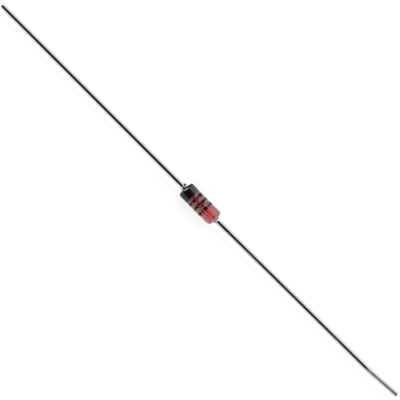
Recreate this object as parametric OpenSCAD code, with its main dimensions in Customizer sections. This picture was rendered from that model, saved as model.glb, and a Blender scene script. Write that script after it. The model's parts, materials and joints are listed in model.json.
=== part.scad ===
// Zener diode in a sealed glass axial package.
// A silicon chip is pressed between two metal slugs inside a glass sleeve. Each slug has a wire lead
// butt-welded to its outer end, and a printed band marks the cathode end.
// X runs along the leads from cathode to anode, and the origin is the middle of the glass. Millimetres.

/* [Glass sleeve] */
// Length of the glass
body_l = 4.25; // [3.6:0.05:5]
// Outside diameter of the glass
body_d = 1.7; // [1.5:0.05:2.2]
// Radius of the fire-polished outer edge at each end
end_round = 0.33; // [0.1:0.01:0.4]
// Least flat ring that the polished edge leaves beside the slug
end_flat = 0.03; // [0.01:0.01:0.1]

/* [Slugs] */
// Diameter of the slugs, which the glass is sealed to
slug_d = 0.96; // [0.8:0.02:1.2]
// How far a slug stands out of the glass
slug_proud = 0.01; // [0.01:0.01:0.1]
// Chamfer on the edges of a slug
slug_chamfer = 0.04; // [0.02:0.01:0.08]

/* [Chip] */
// Side of the square chip
chip_w = 0.5; // [0.3:0.02:0.6]
// Thickness of the chip
chip_t = 0.16; // [0.1:0.01:0.25]
// Turn of the chip about the leads, in degrees
chip_turn = 28; // [0:1:45]
// Diameter of the contact bump on the anode side of the chip
bump_d = 0.3; // [0.2:0.02:0.36]
// Diameter of the flat that the anode slug presses on the bump
bump_flat_d = 0.14; // [0.08:0.01:0.18]
// Height of the contact bump
bump_h = 0.08; // [0.05:0.01:0.1]
// How far the chip and its bump lie from the middle of the glass, towards the anode
stack_shift = 0.1; // [-0.3:0.01:0.3]

/* [Leads] */
// Diameter of the lead wire
lead_d = 0.55; // [0.45:0.01:0.6]
// Length of the cathode lead outside the glass
cathode_lead_l = 25.1; // [20:0.05:30]
// Length of the anode lead outside the glass, along the wire
anode_lead_l = 24.55; // [20:0.05:30]
// Chamfer left by the cutter at the tip of a lead
tip_chamfer = 0.06; // [0.02:0.01:0.12]
// Angle at which the anode lead leans where it leaves its weld
lean_angle = 0.4; // [0:0.1:3]
// Angle of the slight bend near the tip of the anode lead
bend_angle = 3.21; // [0.5:0.01:10]
// Radius of that bend, to the middle of the wire
bend_r = 4; // [2:0.5:8]
// Straight length between that bend and the tip
bend_tip_l = 3.7; // [2.5:0.1:8]

/* [Welds] */
// How far the ball-shaped weld bead stands out round the wire
bead_swell = 0.075; // [0.03:0.005:0.1]
// Distance from the slug to the centre of that ball
bead_rise = 0.04; // [0.04:0.01:0.16]

/* [Cathode band] */
// Distance from the end of the glass to the band
band_inset = 0.05; // [0.05:0.01:0.3]
// Width of the band along the body
band_w = 1.1; // [0.5:0.01:1.4]
// Thickness of the printed ink
ink_t = 0.02; // [0.015:0.005:0.04]

/* [Hidden] */
$fn = 96;

body_r = body_d / 2;
slug_r = slug_d / 2;
lead_r = lead_d / 2;
bead_r = lead_r + bead_swell;
bump_r = bump_d / 2;

// The polished edge is limited by the glass wall
glass_wall = body_r - slug_r;
edge_r = min(end_round, glass_wall - end_flat);

// The chip and its bump fill the gap between the slugs
stack_t = chip_t + bump_h;
cathode_face_x = stack_shift - stack_t / 2;
anode_face_x = stack_shift + stack_t / 2;
slug_end_x = body_l / 2 + slug_proud;
cathode_slug_l = slug_end_x + cathode_face_x;
anode_slug_l = slug_end_x - anode_face_x;

// The bump is part of a ball through its rim on the chip and the edge of its flat
bump_flat_r = bump_flat_d / 2;
bump_rise = (bump_r * bump_r - bump_flat_r * bump_flat_r - bump_h * bump_h) / (2 * bump_h);
bump_ball_r = sqrt(bump_r * bump_r + bump_rise * bump_rise);

// A wire starts where the ball of its weld bead is as thick as the wire
ball_x = slug_end_x + bead_rise;
bead_reach = sqrt(bead_r * bead_r - lead_r * lead_r);
lead_cover = slug_proud + bead_rise + bead_reach;

// The anode lead is a straight root, a slight bend and a straight tip
bend_l = bend_r * bend_angle * PI / 180;
anode_root_l = anode_lead_l - lead_cover - bend_l - bend_tip_l;

// Turns a solid made about Z so that its axis is X
module along_x() {
    rotate([0, 90, 0]) children();
}

// The same solid on the cathode side
module on_cathode_side() {
    mirror([1, 0, 0]) children();
}

// Half section of the glass body without its bore: radius across, length up, corners rounded
module body_section(length, radius, corner) {
    translate([0, -length / 2]) square([radius - corner, length]);
    translate([0, corner - length / 2]) square([radius, length - 2 * corner]);
    for (side = [-1, 1])
        translate([radius - corner, side * (length / 2 - corner)]) circle(corner);
}

// Solid of revolution of the glass, grown all over by a skin
module body_form(skin = 0) {
    along_x()
        rotate_extrude()
            body_section(body_l + 2 * skin, body_r + skin, edge_r + skin);
}

// Slug from its chip face outwards, along +X
module slug(length) {
    along_x() {
        cylinder(h = slug_chamfer, r1 = slug_r - slug_chamfer, r2 = slug_r);
        translate([0, 0, slug_chamfer]) cylinder(h = length - 2 * slug_chamfer, r = slug_r);
        translate([0, 0, length - slug_chamfer])
            cylinder(h = slug_chamfer, r1 = slug_r, r2 = slug_r - slug_chamfer);
    }
}

// Straight wire along +X with its far end chamfered by the cutter
module cut_wire(length) {
    along_x() {
        cylinder(h = length - tip_chamfer, r = lead_r);
        translate([0, 0, length - tip_chamfer])
            cylinder(h = tip_chamfer, r1 = lead_r, r2 = lead_r - tip_chamfer);
    }
}

// Wide stretch as long as a weld bead's ball, along +X from a given start
module bead_stretch(start) {
    translate([start, 0, 0]) along_x() cylinder(h = 2 * bead_r, r = 2 * bead_r);
}

// Weld bead at the end of the anode slug: a ball cut off at the slug and square to the wire
module weld_bead(lean = 0) {
    translate([ball_x, 0, 0])
        intersection() {
            sphere(bead_r);
            bead_stretch(-bead_rise);
            rotate([0, 0, lean]) bead_stretch(bead_reach - 2 * bead_r);
        }
}

// Carries a wire made along +X on to that bead
module on_bead(lean = 0) {
    translate([ball_x, 0, 0]) rotate([0, 0, lean]) translate([bead_reach, 0, 0]) children();
}

module glass_sleeve() {
    color("mistyrose", 0.4)
        difference() {
            body_form();
            along_x() cylinder(h = 2 * body_l, r = slug_r, center = true);
        }
}

module cathode_band() {
    color("black")
        intersection() {
            difference() {
                body_form(ink_t);
                body_form();
            }
            translate([band_inset - body_l / 2, -body_d, -body_d]) cube([band_w, 2 * body_d, 2 * body_d]);
        }
}

module cathode_slug() {
    color("firebrick") on_cathode_side() translate([-cathode_face_x, 0, 0]) slug(cathode_slug_l);
}

module anode_slug() {
    color("firebrick") translate([anode_face_x, 0, 0]) slug(anode_slug_l);
}

module zener_chip() {
    color("dimgray")
        rotate([chip_turn, 0, 0])
            translate([cathode_face_x, -chip_w / 2, -chip_w / 2]) cube([chip_t, chip_w, chip_w]);
}

module contact_bump() {
    bump_x = cathode_face_x + chip_t;
    color("silver")
        intersection() {
            translate([bump_x - bump_rise, 0, 0]) sphere(bump_ball_r);
            translate([bump_x, 0, 0]) along_x() cylinder(h = bump_h, r = bump_d);
        }
}

module cathode_weld() {
    color("gainsboro") on_cathode_side() weld_bead();
}

module anode_weld() {
    color("gainsboro") weld_bead(lean_angle);
}

module cathode_lead() {
    color("silver") on_cathode_side() on_bead() cut_wire(cathode_lead_l - lead_cover);
}

module anode_lead() {
    color("silver")
        on_bead(lean_angle) {
            along_x() cylinder(h = anode_root_l, r = lead_r);
            translate([anode_root_l, bend_r, 0]) {
                rotate([0, 0, -90])
                    rotate_extrude(angle = bend_angle) translate([bend_r, 0]) circle(lead_r);
                rotate([0, 0, bend_angle]) translate([0, -bend_r, 0]) cut_wire(bend_tip_l);
            }
        }
}

glass_sleeve();
cathode_band();
cathode_slug();
anode_slug();
zener_chip();
contact_bump();
cathode_weld();
anode_weld();
cathode_lead();
anode_lead();
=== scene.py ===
"""Looks of a glass zener diode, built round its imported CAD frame.

A shape is drawn in millimetres in the part's own frame, with X along the leads from cathode to anode,
and is brought to metres when its object is made.
"""

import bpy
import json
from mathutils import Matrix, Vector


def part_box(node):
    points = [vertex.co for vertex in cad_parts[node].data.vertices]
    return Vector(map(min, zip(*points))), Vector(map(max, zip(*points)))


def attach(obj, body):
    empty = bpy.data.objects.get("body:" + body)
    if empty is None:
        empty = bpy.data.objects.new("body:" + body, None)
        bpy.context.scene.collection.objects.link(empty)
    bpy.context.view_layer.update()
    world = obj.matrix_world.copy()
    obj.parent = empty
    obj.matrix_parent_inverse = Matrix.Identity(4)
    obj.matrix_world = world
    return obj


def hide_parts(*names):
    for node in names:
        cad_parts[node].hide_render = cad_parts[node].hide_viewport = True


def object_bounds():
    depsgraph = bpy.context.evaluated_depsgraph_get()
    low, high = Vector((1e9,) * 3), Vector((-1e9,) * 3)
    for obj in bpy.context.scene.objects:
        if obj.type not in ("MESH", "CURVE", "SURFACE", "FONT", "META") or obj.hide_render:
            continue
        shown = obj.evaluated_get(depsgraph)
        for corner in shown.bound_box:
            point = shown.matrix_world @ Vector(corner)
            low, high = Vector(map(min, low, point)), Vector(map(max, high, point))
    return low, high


bl_info = {
    "name": "Glass zener diode",
    "version": (1, 0, 0),
    "blender": (4, 5, 0),
    "location": "3D View > Sidebar > Zener diode",
    "description": "Builds the glass, slugs, chip, leads, ink and stage of a glass axial zener diode",
    "category": "Object",
}

import json
import math

import bmesh
import bpy
from bpy.props import FloatProperty, FloatVectorProperty, IntProperty, PointerProperty
from mathutils import Matrix, Vector, noise

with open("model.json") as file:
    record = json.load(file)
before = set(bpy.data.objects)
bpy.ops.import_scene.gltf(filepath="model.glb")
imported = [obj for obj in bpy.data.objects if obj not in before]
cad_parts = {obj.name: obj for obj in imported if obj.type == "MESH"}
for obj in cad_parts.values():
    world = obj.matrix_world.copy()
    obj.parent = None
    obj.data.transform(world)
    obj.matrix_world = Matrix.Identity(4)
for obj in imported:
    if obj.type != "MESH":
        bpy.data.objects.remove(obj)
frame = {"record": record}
CAD_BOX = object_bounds()

MM = 0.001
BODY = "root"
AXIS = (1, 0, 0)
MERGE_DISTANCE = 1e-5
SHARP_ANGLE = math.radians(32)


def cad_corners(node):
    """Lowest and highest corner of a CAD node, in millimetres."""
    low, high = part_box(node)
    return low / MM, high / MM


def cad_mount(name):
    """Middle, direction and length of the straight stretch of lead that a mount of the record names."""
    mount = next(m for m in frame["record"]["mounts"] if m["name"] == name)
    return Vector(mount["pos_m"]) / MM, Vector(mount["axis"]), mount["dims"]["length_mm"]


GLASS_HIGH = cad_corners("glass_sleeve")[1]
SLUG_LOW, SLUG_HIGH = cad_corners("anode_slug")
CHIP_LOW, CHIP_HIGH = cad_corners("zener_chip")
BUMP_LOW, BUMP_HIGH = cad_corners("contact_bump")
WELD_LOW, WELD_HIGH = cad_corners("cathode_weld")
LEAD_LOW, LEAD_HIGH = cad_corners("cathode_lead")
BAND_LOW, BAND_HIGH = cad_corners("cathode_band")
TIP_MIDDLE, TIP_DIRECTION, TIP_LENGTH = cad_mount("anode_lead")

BODY_END = GLASS_HIGH.x
BODY_RADIUS = GLASS_HIGH.z
ANODE_FACE = SLUG_LOW.x
CATHODE_FACE = CHIP_LOW.x
SLUG_END = SLUG_HIGH.x
SLUG_RADIUS = SLUG_HIGH.z
LEAD_START = -WELD_LOW.x
LEAD_RADIUS = LEAD_HIGH.z
BALL_RADIUS = WELD_HIGH.z
BALL_REACH = math.sqrt(BALL_RADIUS**2 - LEAD_RADIUS**2)
BALL_CENTRE = LEAD_START - BALL_REACH
TIP_ANGLE = math.atan2(TIP_DIRECTION.y, TIP_DIRECTION.x)
BEND_END = TIP_MIDDLE - TIP_DIRECTION * TIP_LENGTH / 2
FLOOR_LEVEL = CAD_BOX[0].z
SAG_START = (-0.95, -0.4)
SAG_END = (1.2, 1.75)
SLUMP_SIDE = (0.35, 0.65)
BAND_EDGE = 0.2
# Painted sheen: how strongly the slugs' flanks are greyed, falling off with height from the axis.
FLANK_SHEEN_LEVEL = 0.59
FLANK_SHEEN_FALL = 1.28
SPATTER_CENTRE = Vector((0.025 - LEAD_START, LEAD_RADIUS - 0.005, 0.08))

# Generic print: a long and a short dash, repeated in three lines round the glass. They spell nothing, and
# their places in a line follow this repeat alone. Lines are in millimetres along X, the rest in degrees.
PRINT_LINES = (-0.6, 0.05, 0.7)
DASHES = ((0, 30), (40, 50))
DASH_REPEAT = 60
LINE_SHIFT = 20

# The stage, in metres, apart from the distances in millimetres over which the floor rises to white
FLOOR_REACH = 1.5
FLOOR_SHADE = (0.3, 0.3, 0.3)
FLOOR_WHITENS = (150.0, 600.0)
LAMP_LENGTH = 0.8
LAMP_WIDTH = 0.3
LAMP_DISTANCE = 0.5
ROOM_UPWARD = (0.0, -0.1, 0.995)
WHITE = (1.0, 1.0, 1.0)


def length(name, description, millimetres):
    """A length that a user may change, held in metres."""
    return FloatProperty(
        name=name, description=description, default=millimetres * MM, precision=6, unit="LENGTH"
    )


def angle(name, description, degrees):
    """An angle that a user may change, held in radians."""
    return FloatProperty(name=name, description=description, default=math.radians(degrees), subtype="ANGLE")


def colour(name, description, value):
    """A colour that a user may change."""
    return FloatVectorProperty(
        name=name, description=description, default=value, size=3, min=0.0, max=1.0, subtype="COLOR"
    )


def level(name, description, value):
    """A brightness that a user may change, where 1 is white."""
    return FloatProperty(name=name, description=description, default=value, min=0.0)


def sides(description, count):
    """The number of faces round a piece that a user may change."""
    return IntProperty(name="Sides", description=description, default=count, min=12)


class GlassSettings(bpy.types.PropertyGroup):
    """Sizes and finish of the glass sleeve."""

    edge_radius: length("Edge radius", "Radius of the fire-polished edge at each end", 0.33)
    seal_depth: length("Seal depth", "How far the glass lies into what it is sealed to", 0.004)
    slump: length("Slump", "How far the flame drew the cathode end in on its +Y side", 0.058)
    sag: length("Sag", "How far the outside of the glass sits to the -Y side past the band", 0.018)
    sides: sides("Faces round the body", 144)
    tint: colour("Tint", "Colour of the glass", (0.92, 0.69, 0.7))
    refraction: FloatProperty(name="Refraction", description="Index of the glass", default=1.6, min=1.0)


class SlugSettings(bpy.types.PropertyGroup):
    """Sizes and colours of the two slugs."""

    edge_radius: length("Edge radius", "Radius on the edges of a slug", 0.04)
    red: colour("Red", "Main colour of the oxidised copper skin", (0.91, 0.084, 0.088))
    orange: colour("Orange", "Lighter patches of the skin", (0.93, 0.205, 0.12))
    maroon: colour("Maroon", "Darker patches of the skin", (0.52, 0.033, 0.045))
    purple: colour("Purple", "Heat tint towards the outer end", (0.55, 0.067, 0.116))
    mauve: colour("Mauve", "Tinned copper at the outer end", (0.6, 0.25, 0.31))
    # Painted shadow: a darker red that stands in for the shadow of the print and band on the skin.
    print_shadow_red: colour("Dusky", "Duller skin under the print", (0.385, 0.123, 0.137))
    # Painted sheen: greyer colours that stand in for the slugs' flanks seen at a slant through the glass.
    anode_flank_sheen: colour("Hazy", "Duller skin on the flanks of the anode slug", (0.52, 0.24, 0.21))
    cathode_flank_sheen: colour("Dim", "Duller skin on the flanks of the cathode slug", (0.305, 0.235, 0.265))
    end_flank_sheen: colour("Brown", "Duller skin on the flanks of the outer ends", (0.335, 0.25, 0.2))
    # Painted shade: a dark ring on the slug edges beside the chip, standing in for the shade in the gap
    # there.
    chip_gap_shade: colour("Scorched", "Dark ring beside the chip", (0.07, 0.011, 0.013))
    copper: colour("Copper", "Bare copper of the chip faces", (0.42, 0.17, 0.11))


class ChipSettings(bpy.types.PropertyGroup):
    """Sizes and colours of the chip and the bump on it."""

    turn: angle("Turn", "Turn of the chip about the leads", 28)
    sawn_edge: length("Sawn edge", "Break on the edges of the chip", 0.012)
    rim: length("Rim", "Width of the rim left round the chip's top", 0.05)
    rim_step: length("Rim step", "Depth of the step inside that rim", 0.004)
    bump_flat: length("Bump flat", "Radius of the flat pressed on the bump", 0.07)
    sides: sides("Faces round the bump", 48)
    silicon: colour("Silicon", "Colour of the chip", (0.64, 0.45, 0.44))
    silver: colour("Silver", "Colour of the bump", (0.86, 0.84, 0.8))


class WeldSettings(bpy.types.PropertyGroup):
    """Sizes and colours of the weld beads."""

    lump_depth: length("Lump depth", "Depth of the hollows between a bead's lumps", 0.018)
    spatter: length("Spatter", "Radius of the drop of spatter beside the cathode lead", 0.125)
    sides: sides("Faces round a bead", 72)
    metal: colour("Metal", "Colour of the fused metal", (0.52, 0.53, 0.525))
    heat_tint: colour("Heat tint", "Colour where the heat stained it", (0.36, 0.33, 0.29))
    rosy: colour("Rosy", "Colour of the anode bead beside its slug", (0.5, 0.26, 0.31))
    frosted: colour("Frosted", "Colour of the frosted anode bead beside its lead", (0.8, 0.72, 0.75))
    # Painted shade: the -Y side of the anode bead made darker.
    painted_bead_shade: colour("Shaded", "Colour of the duller -Y side of that bead", (0.3, 0.255, 0.28))
    # Painted shade: a dark colour at the foot of the anode bead, where it meets its slug on the +Y side.
    seam: colour("Seam", "Colour of the stain at the foot of that bead, on the +Y side", (0.05, 0.012, 0.02))
    # Painted shade: near-black for the crease at the cathode neck and the spatter drop there.
    neck_shade_black: colour("Soot", "Colour of the soot beside the cathode lead", (0.012, 0.012, 0.012))


class LeadSettings(bpy.types.PropertyGroup):
    """Sizes and colours of the leads."""

    tip_chamfer: length("Tip chamfer", "Edge rolled over by the cutter at a tip", 0.06)
    cut_slant: length("Cut slant", "How much lower one side of the cut is", 0.05)
    lean: angle("Lean", "Lean of the anode lead where it leaves its weld", 0.4)
    bend_radius: length("Bend radius", "Radius of the slight bend near the anode tip", 4.0)
    ring_spacing: length("Ring spacing", "Distance between the rings of faces along the wire", 0.4)
    sides: sides("Faces round the wire", 64)
    tin: colour("Tin", "Colour of bright tin", (0.73, 0.72, 0.722))
    dull_tin: colour("Dull tin", "Colour of dull tin", (0.65, 0.642, 0.644))
    pit: colour("Pit", "Colour of the pits in the tin", (0.4, 0.39, 0.37))
    core: colour("Core", "Colour of the wire's core on the cut", (0.45, 0.3, 0.22))


class InkSettings(bpy.types.PropertyGroup):
    """Sizes and colours of the band and of the printed dashes."""

    edge_wander: length("Edge wander", "How far the edge of the band wanders", 0.012)
    edge_drift: length("Edge drift", "How far that edge drifts back on the +Y side", 0.26)
    feather: length("Feather", "Stretch over which the ink thins at the band's edges", 0.03)
    dash_width: length("Dash width", "Width of the printed dashes along the body", 0.28)
    dash_height: length("Dash height", "Height of the printed dashes over the glass", 0.008)
    dash_corner: length("Dash corner", "Radius of the corners of a dash", 0.03)
    black: colour("Black", "Colour of the ink", (0.004, 0.0042, 0.0066))
    thin_ink: colour("Thin ink", "Colour where the ink is thin over the red slug", (0.045, 0.006, 0.007))
    # Scuffs and painted sheen: the grey of the band's +Y side.
    scuffed_ink_and_sheen: colour("Worn ink", "Colour where the ink is scuffed", (0.07, 0.073, 0.074))
    # Painted highlight: light grey line on the band's rounded end.
    edge_highlight_grey: colour("Rubbed ink", "Colour where the ink is rubbed on the edge", (0.38, 0.42, 0.45))
    print_ink: colour("Print ink", "Colour of the thin print over the red slugs", (0.03, 0.003, 0.003))


class StageSettings(bpy.types.PropertyGroup):
    """Camera, lamps and floor."""

    view_turn: angle("View turn", "Turn of the camera about the upright", 45.02)
    frame_width: length("Frame width", "Width of the view at the height of the leads", 38.84)
    aim_right: length("Aim right", "Aim of the camera to the right of the body's middle", -0.011)
    aim_up: length("Aim up", "Aim of the camera above the body's middle, in the view", 0.371)
    lens: FloatProperty(name="Lens", description="Focal length in millimetres", default=135.0, min=10.0)
    floor: colour("Floor", "Colour of the floor", (0.76, 0.76, 0.76))
    glow: level("Glow", "Light of its own that the floor shows the camera", 0.75)
    mirrored_glow: level("Mirrored glow", "Share of that light that metal and glass are shown", 0.25)
    key: level("Key", "Brightness of the lamp on the +Y side", 3.25)
    fill: level("Fill", "Brightness of the lamp on the -Y side", 2.1)
    lamp_tilt: angle("Lamp tilt", "Tilt of both lamps from the upright", 48)
    daylight: colour("Daylight", "Colour of the light in the room", (0.965, 1.0, 1.0))
    walls: level("Walls", "Brightness of the room near the horizon", 0.97)
    ceiling: level("Ceiling", "Brightness of the room overhead", 0.008)
    wall_top: level("Wall top", "Height where the walls begin to darken, where 1 is overhead", 0.59)
    ceiling_edge: level("Ceiling edge", "Height where the ceiling is reached, where 1 is overhead", 0.695)


def arc(centre, radius, start, end, steps):
    """Points of an arc from one angle to another, in degrees."""
    points = []
    for step in range(steps + 1):
        turn = math.radians(start + (end - start) * step / steps)
        points.append((centre[0] + radius * math.cos(turn), centre[1] + radius * math.sin(turn)))
    return points


def mirrored(outline):
    """The same outline on the cathode side."""
    return [(-x, radius) for x, radius in outline]


def turned(outline, steps, ring=False):
    """Solid of revolution about the leads, of (x, radius) points that end on the axis or form a ring."""
    shape = bmesh.new()
    corners = [shape.verts.new((x, 0.0, radius)) for x, radius in outline]
    pairs = list(zip(corners, corners[1:]))
    if ring:
        pairs.append((corners[-1], corners[0]))
    edges = [shape.edges.new(pair) for pair in pairs]
    bmesh.ops.spin(
        shape, geom=corners + edges, cent=(0, 0, 0), axis=AXIS, angle=math.tau, steps=steps, use_merge=True
    )
    bmesh.ops.remove_doubles(shape, verts=shape.verts[:], dist=MERGE_DISTANCE)
    bmesh.ops.recalc_face_normals(shape, faces=shape.faces[:])
    return shape


def ramp(value, low, high):
    """How far a value lies between two others, from 0 to 1."""
    return min(1.0, max(0.0, (value - low) / (high - low)))


def shape_by_flame(shape, glass):
    """Draws the cathode end of the glass, or of ink on it, in on the +Y side, and sags the rest."""
    edge = glass.edge_radius / MM
    for vert in shape.verts:
        outward = ramp(-vert.co.x, BODY_END - edge, BODY_END)
        sideways = ramp(vert.co.y / BODY_RADIUS, *SLUMP_SIDE)
        outside = ramp(math.hypot(vert.co.y, vert.co.z), BODY_RADIUS - edge, BODY_RADIUS)
        vert.co.x += glass.slump / MM * outward * sideways
        past_band = ramp(vert.co.x, *SAG_START) - ramp(vert.co.x, *SAG_END)
        vert.co.y -= glass.sag / MM * outside * past_band


def new_object(shape, name, materials):
    """Makes an object of a shape in metres, with its materials."""
    mesh = bpy.data.meshes.new(name)
    shape.to_mesh(mesh)
    shape.free()
    for material in materials:
        mesh.materials.append(material)
    piece = bpy.data.objects.new(name, mesh)
    bpy.context.scene.collection.objects.link(piece)
    return piece


def finished(shape, name, materials, node=None):
    """Makes the object of a finished shape, in metres, which rides on the part in place of its CAD node."""
    bmesh.ops.scale(shape, vec=(MM, MM, MM), verts=shape.verts[:])
    piece = new_object(shape, name, materials)
    piece.data.shade_smooth()
    piece.data.set_sharp_from_angle(angle=SHARP_ANGLE)
    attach(piece, BODY)
    if node:
        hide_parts(node)


def fill(tree, node, inputs):
    """Fills a node's inputs with values or links."""
    for key, value in inputs.items():
        if isinstance(value, bpy.types.NodeSocket):
            tree.links.new(value, node.inputs[key])
        else:
            node.inputs[key].default_value = value


def place(tree, kind, inputs=None, **settings):
    """Adds a node, with its settings, and fills its inputs with values or links."""
    node = tree.nodes.new(kind)
    for key, value in settings.items():
        setattr(node, key, value)
    fill(tree, node, inputs or {})
    return node


def combine(tree, operation, first, second=0.0):
    """Joins two values with a Math node."""
    return place(tree, "ShaderNodeMath", {0: first, 1: second}, operation=operation).outputs[0]


def times(tree, first, second):
    """The product of two values."""
    return combine(tree, "MULTIPLY", first, second)


def apart(tree, first, second):
    """How far two values lie from each other."""
    return combine(tree, "ABSOLUTE", combine(tree, "SUBTRACT", first, second))


def remap(tree, value, low, high, to_low=0.0, to_high=1.0):
    """Eases a value from one range into another."""
    inputs = {"Value": value, "From Min": low, "From Max": high, "To Min": to_low, "To Max": to_high}
    return place(tree, "ShaderNodeMapRange", inputs, interpolation_type="SMOOTHSTEP").outputs["Result"]


def between(tree, mask, low, high):
    """Eases from one value to another by a mask."""
    return remap(tree, mask, 0.0, 1.0, low, high)


def opaque(value):
    """A colour with full alpha, as a socket takes it."""
    return (*value, 1.0)


def mix_colours(tree, mask, first, second):
    """Mixes two colours, as values or links, by a mask."""
    ends = [end if isinstance(end, bpy.types.NodeSocket) else opaque(end) for end in (first, second)]
    return place(tree, "ShaderNodeMix", {0: mask, 6: ends[0], 7: ends[1]}, data_type="RGBA").outputs[2]


def clouded(tree, mask, base, share):
    """A colour that falls to a share of itself where a mask is high."""
    return mix_colours(tree, mask, base, [share * part for part in base])


def noise_at(tree, where, scale, detail=2.0):
    """Cloud noise with features of one part in scale of a millimetre."""
    inputs = {"Vector": where, "Scale": scale, "Detail": detail}
    return place(tree, "ShaderNodeTexNoise", inputs).outputs["Fac"]


def moved(tree, where, **mapping):
    """A place that is shifted, turned or stretched."""
    inputs = {"Vector": where, **{key.capitalize(): value for key, value in mapping.items()}}
    return place(tree, "ShaderNodeMapping", inputs).outputs[0]


def new_group(name, values, output):
    """Starts a shader node group that takes a place and some values, and puts out one value."""
    tree = bpy.data.node_groups.new(name, "ShaderNodeTree")
    tree.interface.new_socket("Place", in_out="INPUT", socket_type="NodeSocketVector")
    for socket_name, default in values:
        socket = tree.interface.new_socket(socket_name, in_out="INPUT", socket_type="NodeSocketFloat")
        socket.default_value = default
    tree.interface.new_socket(output, in_out="OUTPUT", socket_type="NodeSocketFloat")
    return tree, tree.nodes.new("NodeGroupInput").outputs, tree.nodes.new("NodeGroupOutput").inputs


def drawn_lines_group():
    """Fine lines along the leads, as a die leaves them on drawn metal."""
    tree, given, result = new_group("Drawn lines", (("Fineness", 20.0), ("Run", 0.3)), "Lines")
    scales = {"X": given["Run"], "Y": given["Fineness"], "Z": given["Fineness"]}
    stretch = place(tree, "ShaderNodeCombineXYZ", scales).outputs[0]
    where = place(tree, "ShaderNodeVectorMath", {0: given["Place"], 1: stretch}, operation="MULTIPLY")
    tree.links.new(noise_at(tree, where.outputs[0], 1.0, 3.0), result["Lines"])
    return tree


def patches_group():
    """Cloudy patches with soft edges."""
    values = (("Scale", 1.0), ("Low", 0.4), ("High", 0.65))
    tree, given, result = new_group("Cloudy patches", values, "Patches")
    cloud = noise_at(tree, given["Place"], given["Scale"], 4.0)
    tree.links.new(remap(tree, cloud, given["Low"], given["High"]), result["Patches"])
    return tree


def specks_group():
    """Scattered small specks: pits in metal and pinholes in ink."""
    tree, given, result = new_group("Specks", (("Scale", 8.0), ("Size", 0.16)), "Specks")
    cells = place(tree, "ShaderNodeTexVoronoi", {"Vector": given["Place"], "Scale": given["Scale"]})
    half = times(tree, given["Size"], 0.5)
    specks = remap(tree, cells.outputs["Distance"], half, given["Size"], 1.0, 0.0)
    tree.links.new(specks, result["Specks"])
    return tree


def effect(tree, name, where, **values):
    """Places a shared effect in a material and returns its value."""
    makers = {"Drawn lines": drawn_lines_group, "Cloudy patches": patches_group, "Specks": specks_group}
    group = bpy.data.node_groups.get(name) or makers[name]()
    inputs = {"Place": where, **{key.capitalize(): value for key, value in values.items()}}
    return place(tree, "ShaderNodeGroup", inputs, node_tree=group).outputs[0]


def bare_material(name):
    """Starts a material and returns it with its empty tree."""
    material = bpy.data.materials.new(name)
    material.use_nodes = True
    material.node_tree.nodes.clear()
    return material, material.node_tree


def new_material(name):
    """Starts a material and returns it with its tree and its Principled shader."""
    material, tree = bare_material(name)
    shader = place(tree, "ShaderNodeBsdfPrincipled")
    place(tree, "ShaderNodeOutputMaterial", {"Surface": shader.outputs[0]})
    return material, tree, shader


def surface_place(tree, attribute=None):
    """The place on a piece in millimetres, from its own attribute or its Object coordinates."""
    if attribute:
        source = place(tree, "ShaderNodeAttribute", attribute_name=attribute).outputs["Vector"]
    else:
        source = place(tree, "ShaderNodeTexCoord").outputs["Object"]
    return moved(tree, source, scale=(1 / MM, 1 / MM, 1 / MM))


def split(tree, where):
    """How far a place is along the leads, to the +Y side and upwards."""
    parts = place(tree, "ShaderNodeSeparateXYZ", {0: where}).outputs
    return parts["X"], parts["Y"], parts["Z"]


def bumped(tree, height, distance):
    """A normal that is bumped by a height, over a distance in millimetres."""
    return place(tree, "ShaderNodeBump", {"Height": height, "Distance": distance * MM}).outputs[0]


def glass_material(settings):
    """Clear fire-polished glass, slightly wavy, with a faint film of handling."""
    material, tree, shader = new_material("polished_glass")
    where = surface_place(tree)
    film = effect(tree, "Cloudy patches", where, scale=1.6, low=0.45, high=0.75)
    look = {
        "Base Color": opaque(settings.tint),
        "Transmission Weight": 1.0,
        "IOR": settings.refraction,
        "Roughness": between(tree, film, 0.015, 0.06),
        "Normal": bumped(tree, noise_at(tree, where, 1.1), 0.02),
    }
    fill(tree, shader, look)
    return material


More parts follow.
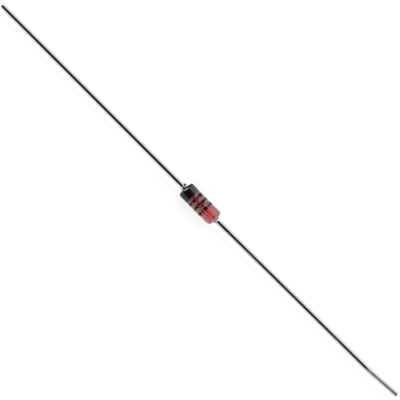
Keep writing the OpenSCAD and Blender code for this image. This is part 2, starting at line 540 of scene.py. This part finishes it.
def slug_material(settings):
    """Red oxidised copper skin with cloudy patches and drawn lines; painted sheen greys its flanks, a
    painted shadow of the print and band darkens it, and painted shade darkens the edges beside the chip,
    whose faces are bare copper.
    """
    material, tree, shader = new_material("oxidised_copper")
    where = surface_place(tree)
    elsewhere = moved(tree, where, location=(3.1, 7.7, 1.9))
    pale = effect(tree, "Cloudy patches", where, scale=2.2, low=0.45, high=0.7)
    dark = effect(tree, "Cloudy patches", elsewhere, scale=3.4, low=0.52, high=0.74)
    lines = effect(tree, "Drawn lines", where, fineness=16.0, run=0.8)
    skin = mix_colours(tree, times(tree, pale, 0.6), settings.red, settings.orange)
    skin = mix_colours(tree, times(tree, dark, 0.75), skin, settings.maroon)
    skin = mix_colours(tree, remap(tree, lines, 0.55, 0.75, 0.0, 0.35), skin, settings.maroon)
    along, across, height = split(tree, where)
    outward = combine(tree, "ABSOLUTE", along)
    middle = (CATHODE_FACE + ANODE_FACE) / 2
    from_chip = apart(tree, along, middle)
    face = ANODE_FACE - middle
    # Painted shadow of the print and band: the skin darkens from the middle towards the cathode end.
    dull = remap(tree, along, 0.85, 1.1, 0.75, 0.0)
    purpled = remap(tree, outward, 1.6, 1.85, 0.0, remap(tree, across, -0.05, 0.25, 0.95, 0.4))
    tinned = remap(tree, outward, 1.84, 2.0)
    # Painted shade in the gap beside the chip.
    chip_gap_shade_mask = remap(tree, from_chip, face + 0.06, face + 0.12, 1.0, 0.0)
    bared = remap(tree, from_chip, face + 0.005, face + 0.02, 1.0, 0.0)
    skin = mix_colours(tree, dull, skin, settings.print_shadow_red)
    skin = mix_colours(tree, purpled, skin, settings.purple)
    skin = mix_colours(tree, tinned, skin, settings.mauve)
    # Painted sheen: the flanks are greyed by height from the axis, more towards the ends and on the +Y side.
    height = combine(tree, "ABSOLUTE", height)
    flank_sheen_mask = combine(tree, "SUBTRACT", FLANK_SHEEN_LEVEL, times(tree, height, FLANK_SHEEN_FALL))
    flank_sheen_mask = times(tree, flank_sheen_mask, remap(tree, outward, 1.2, 1.8, 1.1, 1.9))
    spared = remap(tree, outward, 1.3, 1.7, 0.8, 0.6)
    flank_sheen_mask = times(tree, flank_sheen_mask, remap(tree, across, -0.3, 0.3, spared, 1.15))
    flank_sheen = mix_colours(tree, remap(tree, along, -0.4, 0.7), settings.cathode_flank_sheen, settings.anode_flank_sheen)
    flank_sheen = mix_colours(tree, remap(tree, outward, 1.6, 1.85), flank_sheen, settings.end_flank_sheen)
    skin = mix_colours(tree, flank_sheen_mask, skin, flank_sheen)
    skin = mix_colours(tree, chip_gap_shade_mask, skin, settings.chip_gap_shade)
    skin = mix_colours(tree, bared, skin, settings.copper)
    look = {
        "Base Color": skin,
        "Roughness": between(tree, pale, 0.22, 0.34),
        "Specular IOR Level": 0.6,
        "Normal": bumped(tree, lines, 0.004),
    }
    fill(tree, shader, look)
    return material


def silicon_material(settings):
    """Polished silicon with fine saw lines."""
    material, tree, shader = new_material("sawn_silicon")
    where = surface_place(tree)
    across = moved(tree, where, rotation=(0.0, 0.0, math.radians(90)))
    lines = effect(tree, "Drawn lines", across, fineness=40.0, run=1.0)
    cloud = effect(tree, "Cloudy patches", where, scale=6.0)
    look = {
        "Base Color": clouded(tree, cloud, settings.silicon, 0.7),
        "Roughness": remap(tree, lines, 0.3, 0.7, 0.16, 0.34),
        "Metallic": 0.3,
        "Normal": bumped(tree, lines, 0.0015),
    }
    fill(tree, shader, look)
    return material


def silver_material(settings):
    """Plated silver with a fine grain."""
    material, tree, shader = new_material("plated_silver")
    where = surface_place(tree)
    grain = noise_at(tree, where, 60.0, 3.0)
    cloud = effect(tree, "Cloudy patches", where, scale=9.0)
    look = {
        "Base Color": clouded(tree, cloud, settings.silver, 0.8),
        "Roughness": remap(tree, grain, 0.3, 0.7, 0.22, 0.4),
        "Metallic": 1.0,
        "Normal": bumped(tree, grain, 0.002),
    }
    fill(tree, shader, look)
    return material


def neck_shade_mask(tree, where, spatter):
    """Painted shade: a mask at the neck between the cathode bead and its lead, on the +Y side, and on the
    drop of spatter.
    """
    along, across, _ = split(tree, where)
    from_neck = apart(tree, along, 0.02 - LEAD_START)
    neck = remap(tree, from_neck, 0.06, 0.12, 1.0, 0.0)
    neck_shade = times(tree, neck, remap(tree, across, 0.1, 0.2))
    inputs = {0: where, 1: SPATTER_CENTRE}
    from_drop = place(tree, "ShaderNodeVectorMath", inputs, operation="DISTANCE").outputs["Value"]
    drop = remap(tree, from_drop, spatter + 0.01, spatter + 0.03, 1.0, 0.0)
    return combine(tree, "MAXIMUM", neck_shade, drop)


def weld_material(settings):
    """Fused metal: bright and stained by heat at the cathode end, frosted at the anode end, with painted
    shade at the cathode neck, on the -Y side of the anode bead and at its foot.
    """
    material, tree, shader = new_material("fused_metal")
    where = surface_place(tree)
    stain = effect(tree, "Cloudy patches", where, scale=4.5, low=0.5, high=0.75)
    pits = effect(tree, "Specks", where, scale=11.0, size=0.22)
    ripple = noise_at(tree, where, 14.0, 3.0)
    along, across, _ = split(tree, where)
    frost = remap(tree, along, -0.5, 0.5)
    # Painted shade at the cathode neck and on the spatter drop.
    neck_shade = neck_shade_mask(tree, where, settings.spatter / MM)
    metal = mix_colours(tree, stain, settings.metal, settings.heat_tint)
    metal = mix_colours(tree, pits, metal, settings.heat_tint)
    metal = mix_colours(tree, neck_shade, metal, settings.neck_shade_black)
    rose = mix_colours(tree, remap(tree, along, SLUG_END, LEAD_START), settings.rosy, settings.frosted)
    # Painted shade on the -Y side of the anode bead.
    rose = mix_colours(tree, remap(tree, across, -0.2, 0.14, 0.85, 0.0), rose, settings.painted_bead_shade)
    # Painted shade at the foot of the anode bead on the +Y side, where it meets its slug.
    foot = remap(tree, along, SLUG_END + 0.04, SLUG_END + 0.1, 1.0, 0.0)
    bead_foot_shade_mask = times(tree, foot, remap(tree, across, 0.05, 0.15))
    rose = mix_colours(tree, bead_foot_shade_mask, rose, settings.seam)
    bright = between(tree, stain, 0.05, 0.16)
    metallic = between(tree, frost, 1.0, 0.1)
    look = {
        "Base Color": mix_colours(tree, frost, metal, rose),
        "Roughness": combine(tree, "ADD", bright, times(tree, frost, 0.4)),
        "Specular IOR Level": 0.1,
        "Metallic": combine(tree, "SUBTRACT", metallic, neck_shade),
        "Normal": bumped(tree, combine(tree, "SUBTRACT", ripple, pits), 0.0015),
    }
    fill(tree, shader, look)
    return material


def wire_material(settings):
    """Bright tin on drawn wire, with dull patches and pits, and duller past the bend."""
    material, tree, shader = new_material("bright_tin")
    where = surface_place(tree, "straight")
    along = split(tree, where)[0]
    lines = effect(tree, "Drawn lines", where, fineness=24.0, run=0.15)
    drawn_out = moved(tree, where, scale=(0.35, 1.0, 1.0))
    dull = effect(tree, "Cloudy patches", drawn_out, scale=1.3, low=0.5, high=0.72)
    pits = effect(tree, "Specks", where, scale=3.0, size=0.09)
    handled = remap(tree, along, LEAD_START, LEAD_START + 5.0, 0.05, 0.42)
    gripped = remap(tree, along, BEND_END.x - 0.6, BEND_END.x + 0.1)
    worn = times(tree, handled, between(tree, dull, 0.4, 1.0))
    worn = combine(tree, "MAXIMUM", worn, gripped)
    skin = mix_colours(tree, dull, settings.tin, settings.dull_tin)
    streaks = remap(tree, lines, 0.35, 0.7, 0.0, 0.05)
    look = {
        "Base Color": mix_colours(tree, pits, skin, settings.pit),
        "Roughness": combine(tree, "ADD", between(tree, worn, 0.05, 0.22), streaks),
        "Metallic": between(tree, worn, 1.0, 0.83),
        "Normal": bumped(tree, combine(tree, "SUBTRACT", lines, pits), 0.0012),
    }
    fill(tree, shader, look)
    return material


def cut_material(settings):
    """The wire's core where the cutter sheared it, with marks across the cut."""
    material, tree, shader = new_material("sheared_core")
    where = surface_place(tree, "straight")
    marks = noise_at(tree, moved(tree, where, scale=(1.0, 3.0, 30.0)), 1.0, 3.0)
    cloud = effect(tree, "Cloudy patches", where, scale=7.0)
    look = {
        "Base Color": clouded(tree, cloud, settings.core, 0.6),
        "Roughness": remap(tree, marks, 0.3, 0.7, 0.3, 0.55),
        "Metallic": 0.9,
        "Normal": bumped(tree, marks, 0.01),
    }
    fill(tree, shader, look)
    return material


def ink_material(settings):
    """Black ink, glossy and a little uneven, thin at the band's inner edge and at pinholes, with scuffs and
    a painted sheen on its +Y side and a painted highlight line on its end edge.
    """
    material, tree, shader = new_material("glossy_ink")
    where = surface_place(tree)
    cloud = effect(tree, "Cloudy patches", where, scale=4.0, low=0.4, high=0.7)
    holes = effect(tree, "Specks", where, scale=5.0, size=0.1)
    scuffs = effect(tree, "Cloudy patches", where, scale=7.0, low=0.42, high=0.66)
    along, across, _ = split(tree, where)
    edge = remap(tree, along, BAND_HIGH.x - BAND_EDGE, BAND_HIGH.x)
    thin = times(tree, edge, between(tree, cloud, 0.3, 1.0))
    thin = combine(tree, "MAXIMUM", thin, holes)
    ink = mix_colours(tree, thin, settings.black, settings.thin_ink)
    # Scuffs and painted sheen: a grey patch on the +Y side of the band, broken up by scuffs.
    side = remap(tree, across, 0.15, 0.5)
    side = times(tree, side, remap(tree, across, 0.6, 0.8, 1.0, 0.2))
    inside = remap(tree, along, BAND_LOW.x + 0.05, BAND_LOW.x + 0.4)
    worn = times(tree, side, between(tree, scuffs, 0.3, 1.0))
    worn = times(tree, worn, inside)
    ink = mix_colours(tree, worn, ink, settings.scuffed_ink_and_sheen)
    tilted = combine(tree, "SUBTRACT", along, times(tree, across, 0.27))
    # Painted highlight: a light grey line on the band's rounded end, slanted across the body and fading
    # towards the sides.
    from_ring = apart(tree, tilted, BAND_LOW.x + 0.135)
    ring = remap(tree, from_ring, 0.02, 0.055, 1.0, 0.0)
    from_top = apart(tree, across, 0.05)
    edge_highlight_mask = times(tree, ring, remap(tree, from_top, 0.1, 0.36, 1.0, 0.0))
    look = {
        "Base Color": mix_colours(tree, edge_highlight_mask, ink, settings.edge_highlight_grey),
        "Roughness": between(tree, cloud, 0.08, 0.2),
        "Specular IOR Level": 0.05,
        "Coat Weight": remap(tree, tilted, BAND_LOW.x + 0.06, BAND_LOW.x + 0.1, 0.0, 0.81),
        "Coat Roughness": 0.12,
        "Normal": bumped(tree, cloud, 0.001),
    }
    fill(tree, shader, look)
    return material


def print_material(settings):
    """Thin dark print, matt and a little uneven."""
    material, tree, shader = new_material("thin_print")
    where = surface_place(tree)
    cloud = effect(tree, "Cloudy patches", where, scale=4.0, low=0.4, high=0.7)
    look = {
        "Base Color": mix_colours(tree, cloud, settings.print_ink, settings.black),
        "Roughness": between(tree, cloud, 0.3, 0.5),
        "Specular IOR Level": 0.08,
        "Normal": bumped(tree, cloud, 0.001),
    }
    fill(tree, shader, look)
    return material


class ZENER_OT_glass_sleeve(bpy.types.Operator):
    """Builds the glass sleeve, fire-polished at both ends and sealed on to the slugs"""

    bl_idname = "zener.glass_sleeve"
    bl_label = "Glass sleeve"

    def execute(self, context):
        settings = context.scene.zener_glass
        edge = settings.edge_radius / MM
        bore = SLUG_RADIUS - settings.seal_depth / MM
        half = [(BODY_END, bore)]
        half += arc((BODY_END - edge, BODY_RADIUS - edge), edge, 0, 90, 16)
        wall = [(x, BODY_RADIUS) for x in (*reversed(SAG_END), *reversed(SAG_START))]
        shape = turned(half + wall + mirrored(reversed(half)), settings.sides, ring=True)
        shape_by_flame(shape, settings)
        finished(shape, "glass_clear", [glass_material(settings)], "glass_sleeve")
        return {"FINISHED"}


class ZENER_OT_slugs(bpy.types.Operator):
    """Builds the two red slugs that the chip is pressed between"""

    bl_idname = "zener.slugs"
    bl_label = "Slugs"

    def execute(self, context):
        settings = context.scene.zener_slug
        edge = settings.edge_radius / MM
        steps = context.scene.zener_glass.sides
        material = slug_material(settings)
        anode = turned(self.outline(ANODE_FACE, edge), steps)
        finished(anode, "slug_anode", [material], "anode_slug")
        cathode = turned(mirrored(self.outline(-CATHODE_FACE, edge)), steps)
        finished(cathode, "slug_cathode", [material], "cathode_slug")
        return {"FINISHED"}

    def outline(self, face, edge):
        """Half section of a slug from its chip face to its outer end, with rounded edges."""
        points = [(face, 0.0)]
        points += arc((face + edge, SLUG_RADIUS - edge), edge, 180, 90, 5)
        points += arc((SLUG_END - edge, SLUG_RADIUS - edge), edge, 90, 0, 5)
        return points + [(SLUG_END, 0.0)]


class ZENER_OT_chip(bpy.types.Operator):
    """Builds the silicon chip and the silver bump on it"""

    bl_idname = "zener.chip"
    bl_label = "Chip and bump"

    def execute(self, context):
        settings = context.scene.zener_chip
        self.build_chip(settings)
        self.build_bump(settings)
        return {"FINISHED"}

    def build_chip(self, settings):
        """A sawn square with broken edges and a rim round its top."""
        height = CHIP_HIGH.z - CHIP_LOW.z
        side = height / (math.cos(settings.turn) + math.sin(settings.turn))
        shape = bmesh.new()
        bmesh.ops.create_cube(shape, size=1.0)
        bmesh.ops.scale(shape, vec=(CHIP_HIGH.x - CHIP_LOW.x, side, side), verts=shape.verts[:])
        bmesh.ops.translate(shape, vec=(CHIP_LOW + CHIP_HIGH) / 2, verts=shape.verts[:])
        bmesh.ops.bevel(
            shape,
            geom=shape.edges[:],
            offset=settings.sawn_edge / MM,
            affect="EDGES",
            segments=2,
            profile=0.5,
            material=-1,
        )
        shape.normal_update()
        top = [face for face in shape.faces if face.normal.x > 0.99]
        bmesh.ops.inset_region(
            shape,
            faces=top,
            thickness=settings.rim / MM,
            depth=-settings.rim_step / MM,
            use_even_offset=True,
        )
        turn = Matrix.Rotation(settings.turn, 3, "X")
        bmesh.ops.rotate(shape, cent=(0, 0, 0), matrix=turn, verts=shape.verts[:])
        finished(shape, "chip_silicon", [silicon_material(settings)], "zener_chip")

    def build_bump(self, settings):
        """A dome on the chip, pressed flat by the anode slug."""
        flat = settings.bump_flat / MM
        foot = BUMP_HIGH.z
        height = BUMP_HIGH.x - BUMP_LOW.x
        rise = (foot**2 - flat**2 - height**2) / (2 * height)
        low = math.degrees(math.atan2(foot, rise))
        high = math.degrees(math.atan2(flat, rise + height))
        sunk = BUMP_LOW.x - settings.rim_step / MM
        outline = [(sunk, 0.0), (sunk, foot)]
        outline += arc((BUMP_LOW.x - rise, 0.0), math.hypot(foot, rise), low, high, 8)
        outline += [(BUMP_HIGH.x, 0.0)]
        shape = turned(outline, settings.sides)
        finished(shape, "bump_silver", [silver_material(settings)], "contact_bump")


class ZENER_OT_weld_beads(bpy.types.Operator):
    """Builds the lumpy weld beads between the slugs and the leads"""

    bl_idname = "zener.weld_beads"
    bl_label = "Weld beads"

    def execute(self, context):
        settings = context.scene.zener_weld
        foot = math.degrees(math.acos((SLUG_END - BALL_CENTRE) / BALL_RADIUS))
        neck = math.degrees(math.acos(BALL_REACH / BALL_RADIUS))
        outline = [(SLUG_END, 0.0)]
        outline += arc((BALL_CENTRE, 0.0), BALL_RADIUS, foot, neck, 18)
        outline += [(LEAD_START, 0.0)]
        material = weld_material(settings)
        beads = (("weld_anode", "anode_weld", outline), ("weld_cathode", "cathode_weld", mirrored(outline)))
        for name, node, profile in beads:
            shape = turned(profile, settings.sides)
            self.sink_hollows(shape, settings.lump_depth / MM / BALL_RADIUS)
            if node == "cathode_weld":
                self.add_spatter(shape, settings.spatter / MM)
            finished(shape, name, [material], node)
        return {"FINISHED"}

    def sink_hollows(self, shape, depth):
        """Sinks hollows into the ball and leaves its two cut faces whole."""
        for vert in shape.verts:
            along = (abs(vert.co.x) - SLUG_END) / (LEAD_START - SLUG_END)
            loose = math.sin(math.pi * min(1.0, max(0.0, along)))
            hollow = 0.5 + 0.5 * noise.noise(vert.co * 6.0)
            shrink = 1.0 - loose * depth * hollow
            vert.co.y *= shrink
            vert.co.z *= shrink

    def add_spatter(self, shape, radius):
        """Adds the drop of spatter at the neck of the cathode bead."""
        drop = Matrix.Translation(SPATTER_CENTRE)
        bmesh.ops.create_uvsphere(shape, u_segments=24, v_segments=12, radius=radius, matrix=drop)


class ZENER_OT_leads(bpy.types.Operator):
    """Builds the two tinned leads, with the slight bend near the anode tip"""

    bl_idname = "zener.leads"
    bl_label = "Leads"

    def execute(self, context):
        settings = context.scene.zener_lead
        materials = [wire_material(settings), cut_material(settings)]
        shape = turned(mirrored(self.wire_outline(settings, -LEAD_LOW.x)), settings.sides)
        self.cut_tip(shape, settings, -LEAD_LOW.x)
        finished(shape, "lead_cathode", materials, "cathode_lead")

        ball = Vector((BALL_CENTRE, 0.0, 0.0))
        lean = Matrix.Rotation(settings.lean, 3, "Z")
        bend_angle = TIP_ANGLE - settings.lean
        bend_radius = settings.bend_radius / MM
        bend_length = bend_angle * bend_radius
        bend_end = ball + lean.transposed() @ (BEND_END - ball)
        bend_start = bend_end.x - math.sin(bend_angle) * bend_radius
        anode_tip = bend_start + bend_length + TIP_LENGTH + settings.tip_chamfer / MM
        stations = [bend_start + bend_length * step / 6 for step in range(6)]
        shape = turned(self.wire_outline(settings, anode_tip, stations), settings.sides)
        self.cut_tip(shape, settings, anode_tip)
        self.bend(shape, stations, bend_angle)
        bmesh.ops.rotate(shape, cent=ball, matrix=lean, verts=shape.verts[:])
        finished(shape, "lead_anode", materials, "anode_lead")
        return {"FINISHED"}

    def wire_outline(self, settings, tip, stations=()):
        """Half section of a wire from its weld to its tip, with a ring at each station of its bend."""
        chamfer = settings.tip_chamfer / MM
        wall_end = tip - chamfer
        rings = math.ceil((wall_end - LEAD_START) / (settings.ring_spacing / MM))
        places = [LEAD_START + (wall_end - LEAD_START) * ring / rings for ring in range(rings)]
        if stations:
            room = stations[1] - stations[0]
            clear = [x for x in places if not stations[0] - room < x < stations[-1] + 2 * room]
            places = sorted(clear + list(stations) + [stations[-1] + room])
        outline = [(LEAD_START, 0.0)] + [(x, LEAD_RADIUS) for x in places]
        outline += arc((wall_end, LEAD_RADIUS - chamfer), chamfer, 90, 0, 6)
        return outline + [(tip, 0.0)]

    def cut_tip(self, shape, settings, tip):
        """Slants the cut, gives it the core's material, and keeps each place on the straight wire."""
        slant = settings.cut_slant / MM
        for face in shape.faces:
            if all(abs(abs(vert.co.x) - tip) < MERGE_DISTANCE for vert in face.verts):
                face.material_index = 1
        for vert in shape.verts:
            if abs(vert.co.x) > tip - settings.tip_chamfer / MM / 2:
                vert.co.x -= math.copysign(slant, vert.co.x) * (0.5 + 0.5 * vert.co.y / LEAD_RADIUS)
        straight = shape.verts.layers.float_vector.new("straight")
        for vert in shape.verts:
            vert[straight] = vert.co * MM

    def bend(self, shape, stations, bend_angle):
        """Bends the wire towards +Y by a small turn at each station, from the furthest back."""
        turn = Matrix.Rotation(bend_angle / len(stations), 3, "Z")
        for station in reversed(stations):
            beyond = [vert for vert in shape.verts if vert.co.x > station + MERGE_DISTANCE]
            bmesh.ops.rotate(shape, cent=(station, 0, 0), matrix=turn, verts=beyond)


class ZENER_OT_cathode_band(bpy.types.Operator):
    """Builds the printed black band round the cathode end of the glass"""

    bl_idname = "zener.cathode_band"
    bl_label = "Cathode band"

    def execute(self, context):
        settings = context.scene.zener_ink
        glass = context.scene.zener_glass
        edge = glass.edge_radius / MM
        ink = BAND_HIGH.z - BODY_RADIUS
        seal = glass.seal_depth / MM
        feather = settings.feather / MM
        corner = (edge - BODY_END, BODY_RADIUS - edge)
        inner = edge - seal
        outer = edge + ink
        inner_end = 90 + math.degrees(math.asin((corner[0] - BAND_LOW.x) / inner))
        outer_end = 90 + math.degrees(math.asin((corner[0] - BAND_LOW.x - feather / 2) / outer))
        outline = arc(corner, inner, inner_end, 90, 8)
        outline += [(BAND_HIGH.x, BODY_RADIUS - seal), (BAND_HIGH.x, BODY_RADIUS + ink / 4)]
        outline += [(BAND_HIGH.x - feather / 3, BODY_RADIUS + ink * 0.75)]
        outline += [(BAND_HIGH.x - feather, BODY_RADIUS + ink)]
        outline += arc(corner, outer, 90, outer_end, 8)
        outline += [(BAND_LOW.x, outline[0][1] + ink / 4)]
        shape = turned(outline, glass.sides, ring=True)
        shape_by_flame(shape, glass)
        self.wander(shape, settings.edge_wander / MM, settings.edge_drift / MM)
        finished(shape, "band_ink", [ink_material(settings)], "cathode_band")
        return {"FINISHED"}

    def wander(self, shape, reach, drift):
        """Lets the band's inner edge wander a little, and drift back on the +Y side."""
        for vert in shape.verts:
            if vert.co.x > BAND_HIGH.x - BAND_EDGE:
                ripple = noise.noise(Vector((0.0, vert.co.y, vert.co.z)) * 5.0) - 0.5
                slope = max(0.0, vert.co.y / BODY_RADIUS) ** 4
                vert.co.x += reach * ripple - min(drift, 2.0 * drift * slope)


class ZENER_OT_print(bpy.types.Operator):
    """Builds the printed dashes round the middle of the glass"""

    bl_idname = "zener.print"
    bl_label = "Printed dashes"

    def execute(self, context):
        settings = context.scene.zener_ink
        low = BODY_RADIUS - context.scene.zener_glass.seal_depth / MM
        high = BODY_RADIUS + settings.dash_height / MM
        shape = bmesh.new()
        half = settings.dash_width / MM / 2
        for line, middle in enumerate(PRINT_LINES):
            along = (middle - half, middle + half)
            for turn in range(0, 360, DASH_REPEAT):
                begin = turn + line * LINE_SHIFT
                for start, end in DASHES:
                    self.add_dash(shape, along, (low, high), begin + start, begin + end)
        self.round_corners(shape, high - low, settings.dash_corner / MM)
        shape_by_flame(shape, context.scene.zener_glass)
        bmesh.ops.recalc_face_normals(shape, faces=shape.faces[:])
        finished(shape, "print_dashes", [print_material(settings)])
        return {"FINISHED"}

    def add_dash(self, shape, along, radii, start, end):
        """Sweeps one dash round the glass from one angle to another."""
        section = [(along[0], radii[0]), (along[1], radii[0]), (along[1], radii[1]), (along[0], radii[1])]
        corners = [shape.verts.new((x, 0.0, radius)) for x, radius in section]
        face = shape.faces.new(corners)
        first = Matrix.Rotation(math.radians(start), 3, "X")
        bmesh.ops.rotate(shape, cent=(0, 0, 0), matrix=first, verts=corners)
        bmesh.ops.spin(
            shape,
            geom=corners + list(face.edges) + [face],
            cent=(0, 0, 0),
            axis=AXIS,
            angle=math.radians(end - start),
            steps=max(3, round((end - start) / 3)),
        )

    def round_corners(self, shape, thickness, radius):
        """Rounds the upright edges at the corners of each dash."""
        upright = [
            edge
            for edge in shape.edges
            if abs(edge.calc_length() - thickness) < MERGE_DISTANCE and edge.calc_face_angle(0.0) > 1.0
        ]
        bmesh.ops.bevel(
            shape, geom=upright, offset=radius, affect="EDGES", segments=3, profile=0.5, material=-1
        )


class ZENER_OT_stage(bpy.types.Operator):
    """Builds the floor, the lamps, the room and the camera"""

    bl_idname = "zener.stage"
    bl_label = "Stage"

    def execute(self, context):
        settings = context.scene.zener_stage
        self.build_floor(settings)
        self.build_lamps(settings)
        self.build_room(context.scene, settings)
        self.build_camera(context.scene, settings)
        context.scene.view_settings.view_transform = "Standard"
        return {"FINISHED"}

    def build_floor(self, settings):
        """A plain pale floor, white to the camera and nearly so to metal and glass, with a soft shadow."""
        shape = bmesh.new()
        bmesh.ops.create_grid(shape, x_segments=8, y_segments=8, size=FLOOR_REACH)
        bmesh.ops.translate(shape, vec=(0, 0, FLOOR_LEVEL), verts=shape.verts[:])
        floor = new_object(shape, "floor", [self.floor_material(settings)])

    def floor_material(self, settings):
        """Pale matt card, with a share of its own light where it is seen as the background."""
        material, tree = bare_material("pale_floor")
        where = surface_place(tree)
        grain = remap(tree, noise_at(tree, where, 0.4, 4.0), 0.3, 0.7)
        darker = [0.97 * part for part in settings.floor]
        paper = mix_colours(tree, grain, darker, settings.floor)
        card = place(tree, "ShaderNodeBsdfDiffuse", {"Color": paper}).outputs[0]
        shade = place(tree, "ShaderNodeBsdfDiffuse", {"Color": opaque(FLOOR_SHADE)}).outputs[0]
        distance = place(tree, "ShaderNodeVectorMath", {0: where}, operation="LENGTH").outputs["Value"]
        far = remap(tree, distance, *FLOOR_WHITENS)
        light = mix_colours(tree, far, (settings.glow,) * 3, WHITE)
        glow = place(tree, "ShaderNodeEmission", {"Color": light}).outputs[0]
        background = place(tree, "ShaderNodeAddShader", {0: shade, 1: glow}).outputs[0]
        path = place(tree, "ShaderNodeLightPath").outputs
        passed_on = combine(tree, "MAXIMUM", path["Is Glossy Ray"], path["Is Transmission Ray"])
        passed_on = times(tree, passed_on, settings.mirrored_glow)
        seen = combine(tree, "MAXIMUM", path["Is Camera Ray"], passed_on)
        surface = place(tree, "ShaderNodeMixShader", {0: seen, 1: card, 2: background}).outputs[0]
        place(tree, "ShaderNodeOutputMaterial", {"Surface": surface})
        return material

    def build_lamps(self, settings):
        """A key lamp on the +Y side and a fill lamp on the -Y side, neither mirrored in the metal."""
        self.add_lamp("key_lamp", settings.key, settings.lamp_tilt)
        self.add_lamp("fill_lamp", settings.fill, -settings.lamp_tilt)

    def add_lamp(self, name, brightness, tilt):
        """A broad lamp half a metre away whose face has a given brightness."""
        lamp = bpy.data.lights.new(name, "AREA")
        lamp.shape = "RECTANGLE"
        lamp.size = LAMP_LENGTH
        lamp.size_y = LAMP_WIDTH
        lamp.energy = brightness * math.pi * lamp.size * lamp.size_y
        holder = bpy.data.objects.new(name, lamp)
        holder.location = (0, LAMP_DISTANCE * math.sin(tilt), LAMP_DISTANCE * math.cos(tilt))
        holder.rotation_euler = (-tilt, 0, 0)
        holder.visible_camera = False
        holder.visible_glossy = False
        bpy.context.scene.collection.objects.link(holder)

    def build_room(self, scene, settings):
        """White to the camera; to the diode, bright walls that darken towards the ceiling."""
        world = bpy.data.worlds.new("room")
        world.use_nodes = True
        tree = world.node_tree
        tree.nodes.clear()
        direction = place(tree, "ShaderNodeTexCoord").outputs["Generated"]
        inputs = {0: direction, 1: ROOM_UPWARD}
        height = place(tree, "ShaderNodeVectorMath", inputs, operation="DOT_PRODUCT").outputs["Value"]
        edges = (settings.wall_top, settings.ceiling_edge)
        light = remap(tree, height, *edges, settings.walls, settings.ceiling)
        camera = place(tree, "ShaderNodeLightPath").outputs["Is Camera Ray"]
        light = combine(tree, "MAXIMUM", light, camera)
        tone = mix_colours(tree, camera, settings.daylight, WHITE)
        room = place(tree, "ShaderNodeBackground", {"Color": tone, "Strength": light}).outputs[0]
        place(tree, "ShaderNodeOutputWorld", {"Surface": room})
        scene.world = world

    def build_camera(self, scene, settings):
        """Looks straight down, turned as the photo is."""
        data = bpy.data.cameras.new("camera")
        data.lens = settings.lens
        data.sensor_width = 36.0
        data.clip_start = 0.001
        data.clip_end = 20.0
        camera = bpy.data.objects.new("camera", data)
        turn = Matrix.Rotation(settings.view_turn, 3, "Z")
        aim = turn @ Vector((settings.aim_right, settings.aim_up, 0.0))
        camera.location = aim + Vector((0, 0, settings.frame_width * data.lens / data.sensor_width))
        camera.rotation_euler = (0, 0, settings.view_turn)
        scene.collection.objects.link(camera)
        scene.camera = camera


class ZENER_PT_sidebar(bpy.types.Panel):
    """Lists the pieces of the diode with their sizes and colours"""

    bl_idname = "ZENER_PT_sidebar"
    bl_label = "Zener diode"
    bl_space_type = "VIEW_3D"
    bl_region_type = "UI"
    bl_category = "Zener diode"

    def draw(self, context):
        for operator, group in PIECES:
            box = self.layout.box()
            box.operator(operator.bl_idname)
            settings = getattr(context.scene, group)
            for name in settings.__annotations__:
                box.prop(settings, name)


SETTINGS = {
    "zener_glass": GlassSettings,
    "zener_slug": SlugSettings,
    "zener_chip": ChipSettings,
    "zener_weld": WeldSettings,
    "zener_lead": LeadSettings,
    "zener_ink": InkSettings,
    "zener_stage": StageSettings,
}
PIECES = (
    (ZENER_OT_glass_sleeve, "zener_glass"),
    (ZENER_OT_slugs, "zener_slug"),
    (ZENER_OT_chip, "zener_chip"),
    (ZENER_OT_weld_beads, "zener_weld"),
    (ZENER_OT_leads, "zener_lead"),
    (ZENER_OT_cathode_band, "zener_ink"),
    (ZENER_OT_print, "zener_ink"),
    (ZENER_OT_stage, "zener_stage"),
)
CLASSES = (*SETTINGS.values(), *(operator for operator, group in PIECES), ZENER_PT_sidebar)


def register():
    for cls in CLASSES:
        bpy.utils.register_class(cls)
    for name, group in SETTINGS.items():
        setattr(bpy.types.Scene, name, PointerProperty(type=group))


def unregister():
    for name in SETTINGS:
        delattr(bpy.types.Scene, name)
    for cls in reversed(CLASSES):
        bpy.utils.unregister_class(cls)


def main():
    register()
    bpy.ops.zener.glass_sleeve()
    bpy.ops.zener.slugs()
    bpy.ops.zener.chip()
    bpy.ops.zener.weld_beads()
    bpy.ops.zener.leads()
    bpy.ops.zener.cathode_band()
    bpy.ops.zener.print()
    bpy.ops.zener.stage()
    bpy.context.view_layer.update()


if __name__ == "__main__":
    main()
